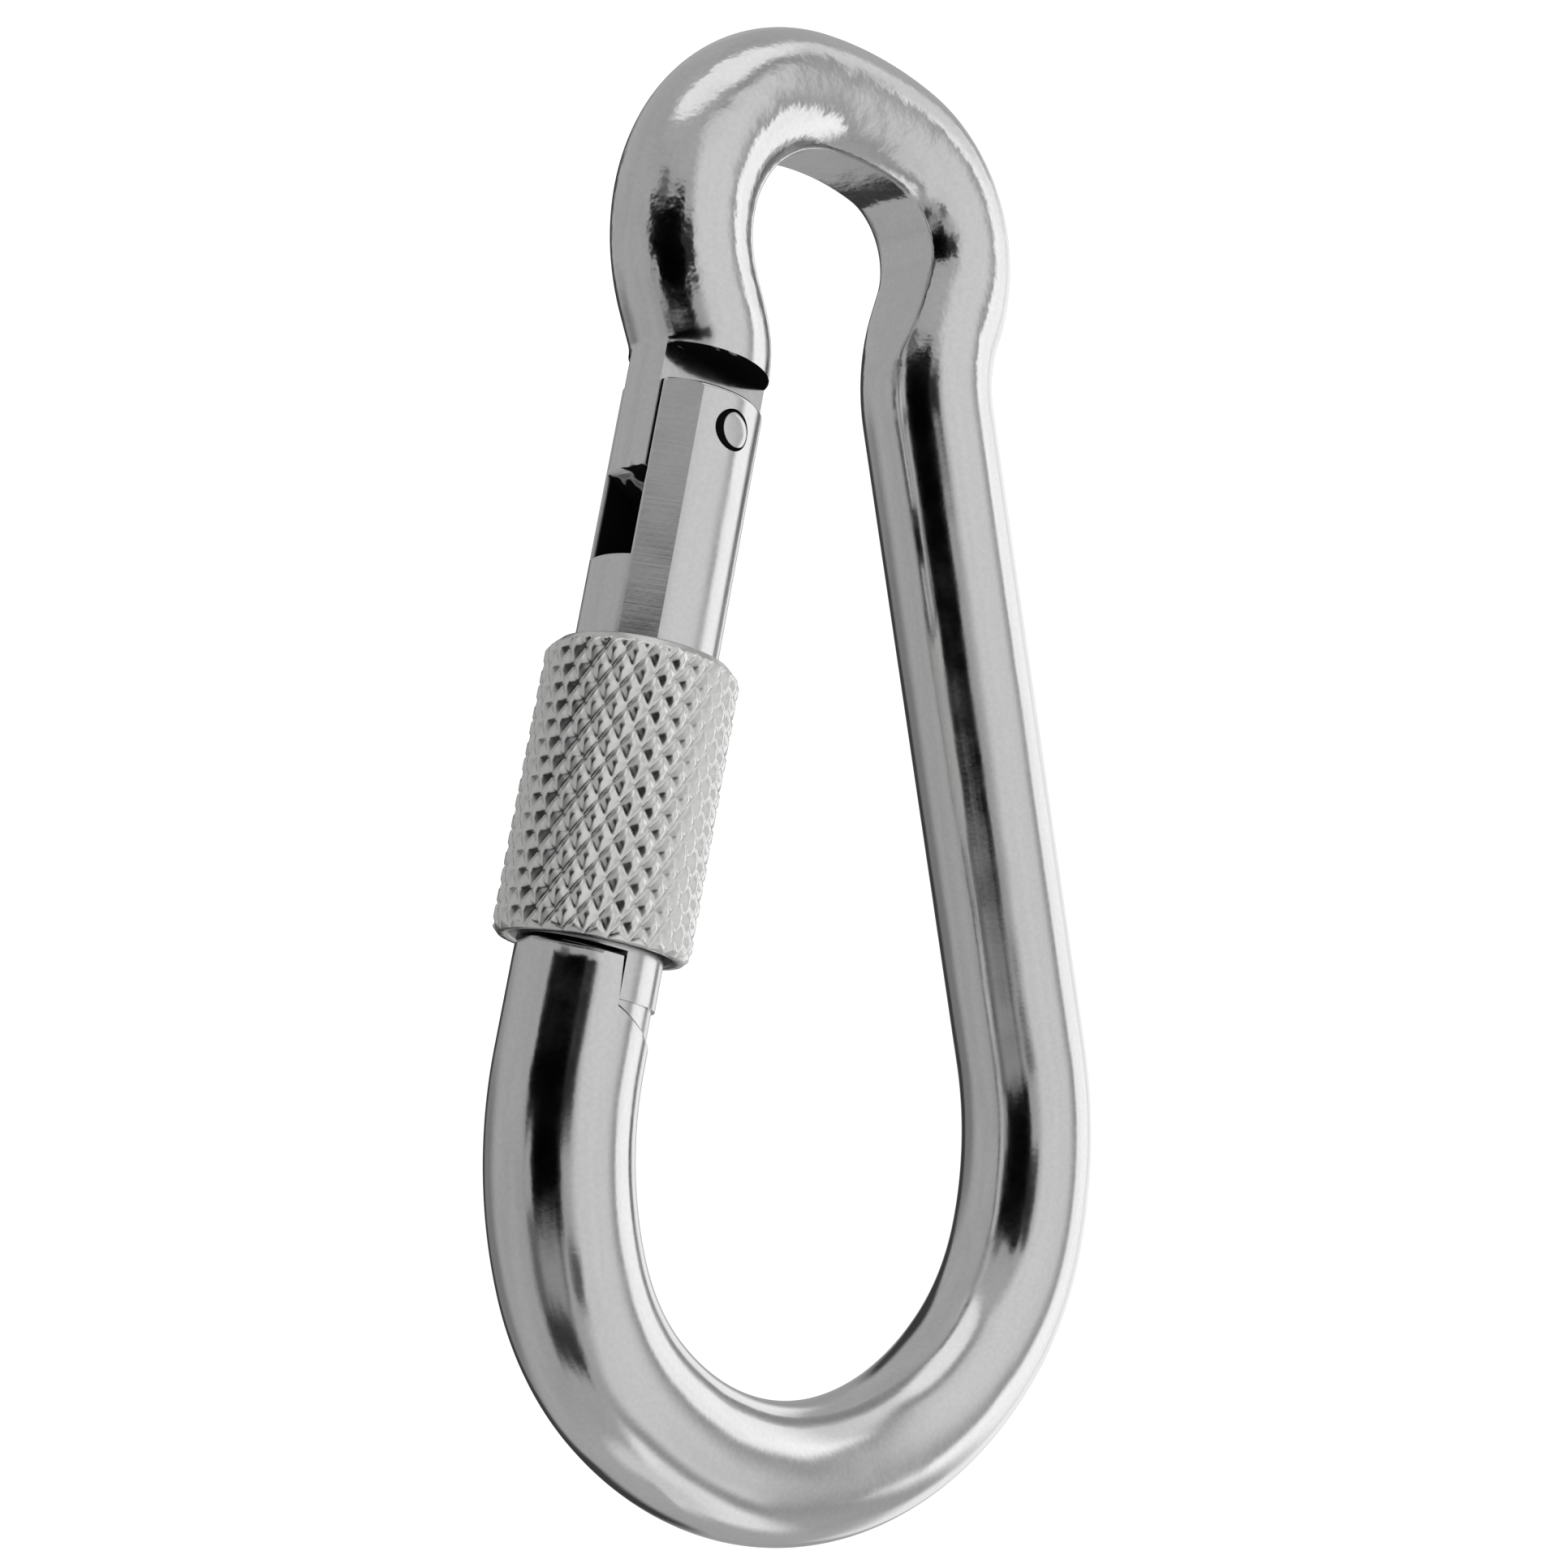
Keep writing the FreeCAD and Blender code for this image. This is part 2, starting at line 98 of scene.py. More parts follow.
# Radius and height of the bore, from the lower rim up.
NUT_BORES = [(6.3, 0.0), (6.1, 0.2), (6.1, 9.66), (5.56, 10.2),
             (5.56, 15.8), (5.75, 15.99), (5.75, 22.0), (6.15, 22.4)]
KNURLS_ROUND, KNURLS_LONG = 27, 8
KNURL_DEPTH = 0.5
KNURL_HALF = 0.36                             # half a groove's width, in diamonds
# Shares of the depth: grooves that climb to the right, grooves that fall, and what a crossing adds.
CLIMBING_SHARE, FALLING_SHARE, CROSSING_SHARE = 0.82, 0.6, 0.18

SPRING_OFFSET, SPRING_LOW, SPRING_HIGH = 1.8, 26.95, 34.5     # ends of the wire's middle line, up the limb
SPRING_MEAN, SPRING_WIRE, SPRING_TURNS = 1.35, 0.25, 8        # radius of the coil and of its wire

# Mesh steps.
SEGMENTS, RING_GAP = 128, 0.45                # round the bar, and along it (mm)
KNURL_STEPS = (14, 22)                        # per diamond, round the nut and along it
COIL_STEPS = (24, 10)                         # per turn of the coil, and round its wire
RIVET_SEGMENTS = 64


# ---------------------------------------------------------------- helpers

def on_limb(inward, side, along):
    """A point of the gate's limb, in metres: inwards from its axis, towards +Y, and up it from the foot."""
    return (FOOT + INWARD * inward + Vector((0, side, 0)) + ALONG * along) * MM


def round_limb(radius, turn, along):
    """A point on a circle round the limb's axis, in metres."""
    return on_limb(radius * math.cos(turn), radius * math.sin(turn), along)


def node(tree, kind, inputs=None, **settings):
    """Adds a shader node. An input is a number, a colour or another node's output socket."""
    made = tree.nodes.new(kind)
    for key, value in settings.items():
        setattr(made, key, value)
    for key, value in (inputs or {}).items():
        if isinstance(value, bpy.types.NodeSocket):
            tree.links.new(value, made.inputs[key])
        else:
            made.inputs[key].default_value = value
    return made


def maths(tree, operation, a, b=0.0):
    """One Math node; gives its output."""
    return node(tree, "ShaderNodeMath", {0: a, 1: b}, operation=operation).outputs[0]


def step_between(tree, value, low, high, to_low=0.0, to_high=1.0):
    """A smooth step: to_low below low, to_high above high."""
    return node(tree, "ShaderNodeMapRange",
                {"Value": value, "From Min": low, "From Max": high, "To Min": to_low, "To Max": to_high},
                interpolation_type="SMOOTHSTEP").outputs[0]


def window(tree, value, low, high, soft):
    """1 between low and high, 0 outside, with soft edges."""
    return maths(tree, "MULTIPLY", step_between(tree, value, low - soft, low + soft),
                 step_between(tree, value, high - soft, high + soft, 1.0, 0.0))


def noise(tree, place, scale, detail, roughness=0.5):
    """A noise texture's level, 0 to 1."""
    inputs = {"Vector": place, "Scale": scale, "Detail": detail, "Roughness": roughness}
    return node(tree, "ShaderNodeTexNoise", inputs).outputs["Fac"]


def bump(tree, height, strength, distance, under=None):
    """A normal that follows a height, on top of another bump's normal if one is given."""
    inputs = {"Height": height, "Strength": strength, "Distance": distance}
    if under is not None:
        inputs["Normal"] = under
    return node(tree, "ShaderNodeBump", inputs).outputs["Normal"]


def shaded(colour, share=1.0):
    """A colour times a share, with an alpha of 1."""
    return (*[value * share for value in colour], 1.0)


def blend_colour(tree, factor, low, high):
    """low where factor is 0, high where it is 1."""
    return node(tree, "ShaderNodeMix", {0: factor, 6: low, 7: high}, data_type="RGBA").outputs[2]


def empty_material(name):
    """A material with an empty node tree."""
    made = bpy.data.materials.new(name)
    made.use_nodes = True
    made.node_tree.nodes.clear()
    return made, made.node_tree


# ---------------------------------------------------------------- metal

# Noise scales, 1/m. The last sets the ragged edge of the painted black shade at the hinge.
HAZE_SCALE, GRAIN_SCALE, WAVE_SCALE, CRUMPLE_SCALE, SHADE_RAG_SCALE = 260.0, 2600.0, 90.0, 420.0, 340.0
# Heights of the bumps, m.
WAVE_HEIGHT, CRUMPLE_HEIGHT, MARK_HEIGHT, GRAIN_HEIGHT = 0.0006, 0.0003, 0.00004, 0.00003
HEAD_SKIN = (-0.020, -0.013)                  # the skin is crumpled above these heights, m
MARK_SCALE = 3.5                              # noise scale of the milling marks, 1/mm
# Painted black shade, for the gaps and recesses at the hinge, the slot and the rivet.
PAINTED_BLACK_SHADE = (0.004, 0.004, 0.004)
# The spot in the middle of the rivet's face that the painted shadow crescent leaves bright: its centre
# (inwards, up the limb) and its soft edge, mm.
UNSHADED_CENTRE = (0.38, PIVOT + 0.16)
UNSHADED_EDGE = (1.28, 1.38)


def limb_axis(tree, place, axis):
    """Millimetres along one of the limb's axes, for a material."""
    dot = node(tree, "ShaderNodeVectorMath", {0: place, 1: axis}, operation="DOT_PRODUCT").outputs["Value"]
    return maths(tree, "SUBTRACT", maths(tree, "MULTIPLY", dot, 1 / MM), FOOT.dot(axis))


def facing(tree, axis):
    """1 where the surface faces along an axis, 0 across it."""
    normal = node(tree, "ShaderNodeNewGeometry").outputs["True Normal"]
    return node(tree, "ShaderNodeVectorMath", {0: normal, 1: axis}, operation="DOT_PRODUCT").outputs["Value"]


def hook_painted_shade(tree, place):
    """Painted black shade on the hinge's shoulder where it faces down, and ragged on the outer end of the
    tongue.
    """
    along = limb_axis(tree, place, ALONG)
    shade_rag = noise(tree, place, SHADE_RAG_SCALE, 2.0)
    under = maths(tree, "MULTIPLY", step_between(tree, facing(tree, -ALONG), 0.45, 0.7),
                  step_between(tree, shade_rag, 0.56, 0.62, 1.0, 0.2))
    below = maths(tree, "ADD", along, maths(tree, "MULTIPLY", maths(tree, "SUBTRACT", shade_rag, 0.5), 5.0))
    outside = step_between(tree, limb_axis(tree, place, INWARD), -4.5, -4.0, 1.0, 0.0)
    low = step_between(tree, below, TONGUE_END + 1.5, TONGUE_END + 1.7, 1.0, 0.0)
    toe = maths(tree, "MULTIPLY", low, outside)
    at_hinge = window(tree, along, TONGUE_END - 2.4, GATE_LIMB + 0.3, 0.1)
    return maths(tree, "MULTIPLY", at_hinge, maths(tree, "MAXIMUM", under, toe))


def slot_painted_shade(tree, place):
    """Painted black shade inside the gate's slot."""
    y = node(tree, "ShaderNodeSeparateXYZ", {"Vector": place}).outputs[1]
    side = maths(tree, "ABSOLUTE", maths(tree, "MULTIPLY", y, 1 / MM))
    within = step_between(tree, side, SLOT_HALF + 0.04, SLOT_HALF + 0.12, 1.0, 0.0)
    inward = step_between(tree, limb_axis(tree, place, INWARD), -5.1, -4.6)
    above_end = step_between(tree, limb_axis(tree, place, ALONG), SLOT_END - 0.2, SLOT_END + 0.1)
    return maths(tree, "MULTIPLY", maths(tree, "MULTIPLY", within, inward), above_end)


def facet_marks(tree, place):
    """Height of the milling marks that run across the gate's two long facets."""
    along = maths(tree, "MULTIPLY", limb_axis(tree, place, ALONG), MARK_SCALE)
    marks = node(tree, "ShaderNodeTexNoise", {"W": along, "Scale": 1.0, "Detail": 3.0}, noise_dimensions="1D")
    sides = [INWARD * math.cos(FACET_TURN) + Vector((0, side * math.sin(FACET_TURN), 0)) for side in (-1, 1)]
    on_facet = maths(tree, "MAXIMUM", facing(tree, sides[0]), facing(tree, sides[1]))
    return maths(tree, "MULTIPLY", marks.outputs["Fac"], step_between(tree, on_facet, 0.995, 0.999))


def rivet_painted_shadow(tree, place):
    """A crescent of painted black shadow on the rivet's lower outer side, round the unshaded spot in the
    middle of its face.
    """
    inward = maths(tree, "SUBTRACT", limb_axis(tree, place, INWARD), UNSHADED_CENTRE[0])
    along = maths(tree, "SUBTRACT", limb_axis(tree, place, ALONG), UNSHADED_CENTRE[1])
    reach = maths(tree, "SQRT", maths(tree, "ADD", maths(tree, "MULTIPLY", inward, inward),
                                      maths(tree, "MULTIPLY", along, along)))
    return step_between(tree, reach, *UNSHADED_EDGE)


def steel_colour(tree, grain, base, crevice_shade, reach, open_at):
    """Base colour with fine streaks, and painted shade in crevices closer than reach (mm)."""
    tint = blend_colour(tree, step_between(tree, grain, 0.3, 0.7), shaded(base, 0.95), shaded(base))
    # Ambient occlusion paints shade into the crevices.
    crevice = node(tree, "ShaderNodeAmbientOcclusion", {"Distance": reach * MM}, samples=8).outputs["AO"]
    return blend_colour(tree, step_between(tree, crevice, 0.10, open_at), shaded(base, crevice_shade), tint)


def steel_bumps(tree, place, grain, wave, crumple, marks):
    """Slow waves, the head's crumpled skin, milling marks and fine scratches, one on top of the other."""
    normal = bump(tree, noise(tree, place, WAVE_SCALE, 2.0), wave, WAVE_HEIGHT)
    if crumple:
        z = node(tree, "ShaderNodeSeparateXYZ", {"Vector": place}).outputs[2]
        on_head = step_between(tree, z, *HEAD_SKIN, 0.0, crumple)
        normal = bump(tree, noise(tree, place, CRUMPLE_SCALE, 3.0), on_head, CRUMPLE_HEIGHT, normal)
    if marks:
        normal = bump(tree, marks(tree, place), 0.07, MARK_HEIGHT, normal)
    return bump(tree, grain, 0.12, GRAIN_HEIGHT, normal)


def plated_steel(name, base=(0.72, 0.72, 0.72), rough=0.09, wave=0.25, crumple=0.0,
                 crevice_shade=0.12, reach=3.0, open_at=0.62, painted_dark=None, marks=None):
    """Bright zinc plate: mirror-like, a little wavy, with patches of haze and fine scratches.
    Crevices get painted shade, darkened to the given share of the base; the optional mask function gives
    where painted black shade goes."""
    made, tree = empty_material(name)
    place = node(tree, "ShaderNodeTexCoord").outputs["Object"]
    grain = noise(tree, place, GRAIN_SCALE, 3.0)
    haze = step_between(tree, noise(tree, place, HAZE_SCALE, 4.0), 0.35, 0.75, rough, rough + 0.06)
    roughness = maths(tree, "ADD", haze, maths(tree, "MULTIPLY", grain, 0.05))
    colour = steel_colour(tree, grain, base, crevice_shade, reach, open_at)
    metal_share = 1.0
    # Painted black shade where the mask says, dull and not metallic.
    if painted_dark:
        dark_share = painted_dark(tree, place)
        colour = blend_colour(tree, dark_share, colour, shaded(PAINTED_BLACK_SHADE))
        metal_share = maths(tree, "SUBTRACT", 1.0, dark_share)
    normal = steel_bumps(tree, place, grain, wave, crumple, marks)
    shader = node(tree, "ShaderNodeBsdfPrincipled",
                  {"Base Color": colour, "Metallic": metal_share, "Specular IOR Level": 0.0, "Roughness": roughness,
                   "Normal": normal})
    node(tree, "ShaderNodeOutputMaterial", {"Surface": shader.outputs[0]})
    return made


# Bar, gate and rivet get painted black shade in their recesses and under the hinge; every metal gets painted
# crevice shade.
bar_metal = plated_steel("plated_bar", crumple=0.35, painted_dark=hook_painted_shade)
gate_metal = plated_steel("plated_gate", rough=0.14, painted_dark=slot_painted_shade, marks=facet_marks)
rivet_metal = plated_steel("rivet_steel", rough=0.18, painted_dark=rivet_painted_shadow)
spring_metal = plated_steel("spring_steel", base=(0.45, 0.45, 0.46), rough=0.3)
# The knurl's grooves and pits get painted shade, almost black.
nut_metal = plated_steel("knurled_nut", base=(0.80, 0.80, 0.79), rough=0.24, wave=0.1, crevice_shade=0.02, reach=1.3,
                         open_at=0.82)

CAD_METALS = [("gate", gate_metal, "plated_gate"), ("spring_plunger", spring_metal, "spring_steel")]
for name, metal, slot in CAD_METALS:
    obj = nodes[name]
    obj.data.materials.clear()
    obj.data.materials.append(metal)


# ---------------------------------------------------------------- nut, rivet and spring

def groove(lane):
    """Depth of a groove that runs along every whole number of a lane."""
    return max(0.0, 1.0 - abs(lane - round(lane)) / KNURL_HALF)


def knurl(u, v):
    """Depth of the knurl, 0 at a diamond's flat top to 1 in a crossing. u and v count diamonds."""
    climbing = groove(u - v)
    falling = groove(u + v)
    deeper = max(CLIMBING_SHARE * climbing, FALLING_SHARE * falling)
    return deeper + CROSSING_SHARE * min(climbing, falling)


def lathe_faces(work, rings):
    """Quads between neighbouring closed rings of vertices."""
    for low, high in zip(rings, rings[1:]):
        count = len(low)
        for i in range(count):
            j = (i + 1) % count
            work.faces.new((low[i], low[j], high[j], high[i]))


def finished(work, name, metal, body, replaced):
    """Turns a mesh into a piece that stands for a CAD node and rides a body."""
    mesh = bpy.data.meshes.new(name)
    bmesh.ops.recalc_face_normals(work, faces=work.faces)
    work.to_mesh(mesh)
    work.free()
    mesh.materials.append(metal)
    mesh.polygons.foreach_set("use_smooth", [True] * len(mesh.polygons))
    obj = bpy.data.objects.new(name, mesh)
    bpy.context.scene.collection.objects.link(obj)
    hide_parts(replaced)
    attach(obj, body)
    return obj


def ring_of(work, radius, along, count):
    """A closed ring of vertices round the limb."""
    turns = [2 * math.pi * i / count for i in range(count)]
    return [work.verts.new(round_limb(radius, turn, along)) for turn in turns]


def knurled_nut():
    """Sleeve nut with a diamond knurl cut over its whole length and turned bevels at both ends."""
    work = bmesh.new()
    around = KNURLS_ROUND * KNURL_STEPS[0]
    rows = KNURLS_LONG * KNURL_STEPS[1]
    rings = []
    for row in range(rows + 1):
        z = NUT_LENGTH * row / rows
        ring = []
        for i in range(around):
            turn = 2 * math.pi * i / around
            cut = KNURL_DEPTH * knurl(i / KNURL_STEPS[0], row / KNURL_STEPS[1])
            bevel = min(NUT_R - NUT_TOE + z, NUT_R - NUT_CHAMFER + NUT_LENGTH - z)
            radius = min(NUT_R - cut, bevel)
            ring.append(work.verts.new(round_limb(radius, turn, NUT_REST + z)))
        rings.append(ring)
    inner = [ring_of(work, radius, NUT_REST + z, around) for radius, z in NUT_BORES]
    lathe_faces(work, rings + inner[::-1] + rings[:1])
    obj = finished(work, "nut_knurled", nut_metal, "nut", "locking_nut")
    obj.data.set_sharp_from_angle(angle=math.radians(50))


def rivet():
    """Pin with lightly domed, flattened ends."""
    work = bmesh.new()
    turns = [2 * math.pi * i / RIVET_SEGMENTS for i in range(RIVET_SEGMENTS)]
    near = [(radius, drop - RIVET_END) for radius, drop in RIVET_HEAD]
    far = [(radius, RIVET_END - drop) for radius, drop in RIVET_HEAD[::-1]]
    rings = []
    for radius, y in near + far:
        rings.append([work.verts.new(on_limb(radius * math.cos(turn), y, PIVOT + radius * math.sin(turn)))
                      for turn in turns])
    lathe_faces(work, rings)
    for ring in (rings[0], rings[-1]):
        work.faces.new(ring)
    obj = finished(work, "rivet", rivet_metal, "gate", "hinge_rivet")
    obj.data.set_sharp_from_angle(angle=math.radians(40))


def coil_spring():
    """Coil spring in the gate's bore."""
    work = bmesh.new()
    per_turn, sides = COIL_STEPS
    rings = []
    for step in range(SPRING_TURNS * per_turn + 1):
        turn = 2 * math.pi * step / per_turn
        along = SPRING_LOW + (SPRING_HIGH - SPRING_LOW) * step / (SPRING_TURNS * per_turn)
        ring = []
        for i in range(sides):
            swing = 2 * math.pi * i / sides
            radius = SPRING_MEAN + SPRING_WIRE * math.cos(swing)
            inward = SPRING_OFFSET + radius * math.cos(turn)
            up = along + SPRING_WIRE * math.sin(swing)
            ring.append(work.verts.new(on_limb(inward, radius * math.sin(turn), up)))
        rings.append(ring)
    lathe_faces(work, rings)
    for ring in (rings[0], rings[-1]):
        work.faces.new(ring)
    obj = finished(work, "coil", spring_metal, "gate", "gate_spring")
    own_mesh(obj)


knurled_nut()
rivet()
coil_spring()


# ---------------------------------------------------------------- hook body

def bar_stations():
    """Points along the bar's axis in the XZ plane (mm) with headings and lengths from the hinge shoulder."""
    point = FOOT + ALONG * GATE_LIMB
    heading = math.pi / 2 - LEAN
    length = 0.0
    stations = [(point.copy(), heading, length)]
    for run in HEAD_RUNS + BOW_RUNS + [NOSE_STRAIGHT]:
        radius, turn = run if isinstance(run, tuple) else (None, run)
        span = radius * math.radians(abs(turn)) if radius else turn
        steps = max(1, round(span / RING_GAP))
        for _ in range(steps):
            bend = math.radians(turn) / steps if radius else 0.0
            chord = 2 * radius * math.sin(abs(bend) / 2) if radius else turn / steps
            heading += bend / 2
            point = point + Vector((math.cos(heading), 0, math.sin(heading))) * chord
            heading += bend / 2
            length += span / steps
            stations.append((point.copy(), heading, length))
    return stations


def run_length(runs):
    """Length of the axis over some runs."""
    return sum(run[0] * math.radians(abs(run[1])) if isinstance(run, tuple) else run for run in runs)


FLAT_FROM = run_length(HEAD_RUNS[:2])
FLAT_TO = run_length(HEAD_RUNS[:-1])


def pressed(length):
    """How deep the head's inside is pressed flat at a length from the hinge shoulder."""
    if length > FLAT_TO:
        return max(0.0, HEAD_DEPTH - RUNOUT * (length - FLAT_TO) ** 2)
    start = min(1.0, max(0.0, (length - FLAT_FROM) / FLAT_START))
    return HEAD_DEPTH * start * start * (3 - 2 * start)


def section_radius(turn, depth):
    """Radius of the bar's section, with a flat of that depth facing turn = 0 and eased edges."""
    if depth <= 0.0 or math.cos(turn) <= 0.3:
        return BAR_R
    flat = (BAR_R - depth) / math.cos(turn)
    blend = max(EDGE_EASE - abs(flat - BAR_R), 0.0) / EDGE_EASE
    return min(flat, BAR_R) - blend * blend * EDGE_EASE / 4


def bar_rings(work):
    """Closed rings round the bar. Vertex 0 faces the hook's inside and the ring runs towards +Y."""
    rings = []
    for point, heading, length in bar_stations():
        inside = Vector((math.sin(heading), 0, -math.cos(heading)))
        depth = pressed(length)
        ring = []
        for i in range(SEGMENTS):
            turn = 2 * math.pi * i / SEGMENTS
            radius = section_radius(min(turn, 2 * math.pi - turn), depth)
            ring.append(work.verts.new((point + inside * (radius * math.cos(turn))
                                        + Vector((0, radius * math.sin(turn), 0))) * MM))
        rings.append(ring)
    return rings


def columns():
    """Section columns of a bar's end from the inner side to the outer: x and half width in y."""
    half = SEGMENTS // 2
    turns = [math.pi * i / half for i in range(half + 1)]
    return [(BAR_R * math.cos(turn), BAR_R * math.sin(turn)) for turn in turns]


def close_end(work, ring, profile):
    """Closes the bar beyond a ring. profile(x, width) gives one half of a column's outline as (y, along)
    from the bar's side to its middle line; the other half mirrors it."""
    lines = []
    for i, (x, width) in enumerate(columns()):
        half = profile(x, width)
        outline = half + [(-y, along) for y, along in half[::-1]]
        made = [work.verts.new(on_limb(x, y, along)) for y, along in outline]
        lines.append([ring[i]] + made + [ring[-i if i else 0]])
    for one, other in zip(lines, lines[1:]):
        for k in range(len(one) - 1):
            corners = []
            for vert in (one[k], one[k + 1], other[k + 1], other[k]):
                if vert not in corners:
                    corners.append(vert)
            if len(corners) > 2:
                work.faces.new(corners)


def heel(x):
    """Height of the tongue's end: flat, sloping at the outer side, an involute at the inner side."""
    if x < HEEL_FLAT:
        return TONGUE_END + (HEEL_FLAT - x) * HEEL_SLOPE
    if x < HEEL_FROM:
        return TONGUE_END
    turn = 0.0
    for _ in range(30):                       # closes in on the involute's turn at this x
        reach = HEEL_R + HEEL_FROM * turn
        turn += (x - reach * math.sin(turn) - HEEL_FROM * math.cos(turn)) / reach
    return PIVOT - (HEEL_R + HEEL_FROM * turn) * math.cos(turn) + HEEL_FROM * math.sin(turn)


def tongue_profile(x, width):
    """From the full bar over its rounded end to the flat tongue and its heel."""
    y = min(width, TONGUE_HALF)
    end = heel(x)
    ease = min(TONGUE_EASE, y)
    line = []
    for k in range(SHOULDER_STEPS + 1):
        swing = math.pi / 2 * k / SHOULDER_STEPS
        inset = min(SHOULDER_ROUND * (1 - math.cos(swing)), width - y)
        lift = SHOULDER_ROUND * (1 - math.sin(swing)) if width > y else 0.0
        line.append((width - inset, GATE_LIMB + lift))
    line.append((y, GATE_LIMB))
    reach = end + ease - GATE_LIMB
    line += [(y, GATE_LIMB + reach * k / TONGUE_STEPS) for k in range(1, TONGUE_STEPS + 1)]
    line += [(y - ease * 0.3, end + ease * 0.3), (y - ease, end)]
    return line


def nose_height(x):
    """Height of the nose: the sloping ledge on the inner side and the swing arc on the outer."""
    if x > LAP_PLANE:
        return LAP_LEDGE - (x - LAP_PLANE) * LAP_SLOPE
    return PIVOT - math.sqrt(NOSE_RADIUS ** 2 - x * x)


def nose_profile(x, width):
    """Up the side of the nose to its top, with an eased edge."""
    top = nose_height(x)
    ease = min(EDGE_EASE, width)
    side_top = min(top - ease, NOSE_FOOT) if x < LAP_PLANE else top - ease
    inset = min(max(ease, top - side_top - 0.02), width)
    side = side_top - NOSE_STRAIGHT
    line = [(width, NOSE_STRAIGHT + side * k / NOSE_STEPS) for k in range(1, NOSE_STEPS + 1)]
    line += [(width - inset * 0.5, (side_top + top) / 2 + ease * 0.2), (width - inset, top)]
    line += [((width - inset) * (1 - k / 3), top) for k in range(1, 3)]
    return line


def plug(outline, half_width):
    """Prism across the hook, from points (inward, along) of its outline."""
    work = bmesh.new()
    rings = []
    for y in (-half_width, half_width):
        rings.append([work.verts.new(on_limb(x, y, along)) for x, along in outline])
    lathe_faces(work, rings)
    for ring in rings:
        work.faces.new(ring)
    bmesh.ops.recalc_face_normals(work, faces=work.faces)
    mesh = bpy.data.meshes.new("plug")
    work.to_mesh(mesh)
    work.free()
    obj = bpy.data.objects.new("plug", mesh)
    bpy.context.scene.collection.objects.link(obj)
    return obj


def cut_away(obj, plugs):
    """Takes the plugs' shapes out of a mesh."""
    for tool in plugs:
        cut = obj.modifiers.new("cut", "BOOLEAN")
        cut.operation = "DIFFERENCE"
        cut.solver = "EXACT"
        cut.object = tool
    graph = bpy.context.evaluated_depsgraph_get()
    mesh = bpy.data.meshes.new_from_object(obj.evaluated_get(graph))
    obj.modifiers.clear()
    obj.data = mesh
    for tool in plugs:
        bpy.data.objects.remove(tool)


def rivet_hole():
    """Plug for the rivet's hole in the tongue."""
    turns = [2 * math.pi * i / 48 for i in range(48)]
    return plug([(RIVET_HOLE_R * math.cos(turn), PIVOT + RIVET_HOLE_R * math.sin(turn)) for turn in turns],
                TONGUE_HALF + 1)


def lap_pocket():
    """Plug for the pocket in the nose that takes the gate's rib."""
    floor, low, high = LAP_POCKET
    return plug([(floor, low), (0.0, low), (0.0, high), (floor, high)], LAP_POCKET_HALF)


def hook_mesh():
    """The hook in one piece: bent bar, hinge tongue with its hole and nose with its pocket."""
    work = bmesh.new()
    rings = bar_rings(work)
    lathe_faces(work, rings)
    close_end(work, rings[0], tongue_profile)
    close_end(work, rings[-1], nose_profile)
    bmesh.ops.remove_doubles(work, verts=work.verts, dist=0.00001 * MM)
    obj = finished(work, "hook_bar", bar_metal, "hook", "hook_body")
    cut_away(obj, [rivet_hole(), lap_pocket()])
    obj.data.set_sharp_from_angle(angle=math.radians(32))


hook_mesh()


# ---------------------------------------------------------------- light tent, floor, camera

TENT_RADIUS, FLOOR_SIZE, FLOOR_HEIGHT = 0.8, 20.0, -0.30      # m
FLOOR_GREYS = (0.92, 0.94)
STUDIO_LIGHT = 1.15


def glossy_only(obj):
    """Hides an object from everything but mirror reflections."""
    obj.visible_camera = False
    obj.visible_diffuse = False
    obj.visible_shadow = False
    obj.visible_transmission = False
    obj.visible_volume_scatter = False


# What the bright metal mirrors, drawn on a sphere round it in layers. Each layer is a soft-edged window
# (from, to, softness) in degrees round Z from the camera's direction, one in degrees of height, and a level.
TENT_BASE = 0.46
TENT_LAYERS = [
    ((-62, 122, 14), (60, 99, 4), 1.02),       # ceiling
    ((20, 140, 14), (-99, -60, 5), 1.00),      # lit floor
    ((-99, 199, 30), (-99, -76, 5), 0.80),
    ((26, 98, 14), (-60, 58, 5), 0.36),        # frame of the side panel
    ((22, 86, 9), (-50, 50, 5), 0.77),         # side panel
    ((97, 136, 3), (-32, 36, 6), 1.20),        # gap with direct light beside it
    ((100, 130, 8), (28, 62, 8), 0.85),
    ((136, 168, 6), (-42, 26, 6), 1.05),       # bright ground behind, on the right
    ((168, 199, 4), (-42, 26, 6), 0.40),
    ((-199, -172, 2), (-42, 26, 6), 0.40),
    ((-160, -116, 10), (-34, 6, 8), 0.24),     # dark corner on the left
    ((-172, -146, 4), (-50, 30, 6), 0.05),
]
TENT_DARK = [
    ((-48, 2, 4.0), (-52, -13, 4.0), 0.14),
    ((-34, -2, 5.0), (-33, -20, 3.0), 0.34),
    ((-50, 5, 1.5), (-17, 26.5, 2.0), 0.0),    # camera and its stand
    ((-44, 0, 3.0), (-50, -36, 3.0), 0.04),
    ((3, 19, 3.0), (-3, 18, 3.0), 0.02),
    ((11, 26, 3.0), (-28, -18, 2.0), 0.10),
    ((-40, -24, 3.0), (24, 36, 3.0), 0.15),
    ((-50, -39, 1.2), (-16, 0, 1.5), 0.42),    # gap beside the stand
]


def layered(tree, glow, turn, height, layers):
    """Lays the layers over a glow, which is a number or a socket."""
    for (left, right, side_soft), (low, high, end_soft), level in layers:
        mask = maths(tree, "MULTIPLY", window(tree, turn, left, right, side_soft),
                     window(tree, height, low, high, end_soft))
        glow = node(tree, "ShaderNodeMix", {0: mask, 2: glow, 3: level}).outputs[0]
    return glow


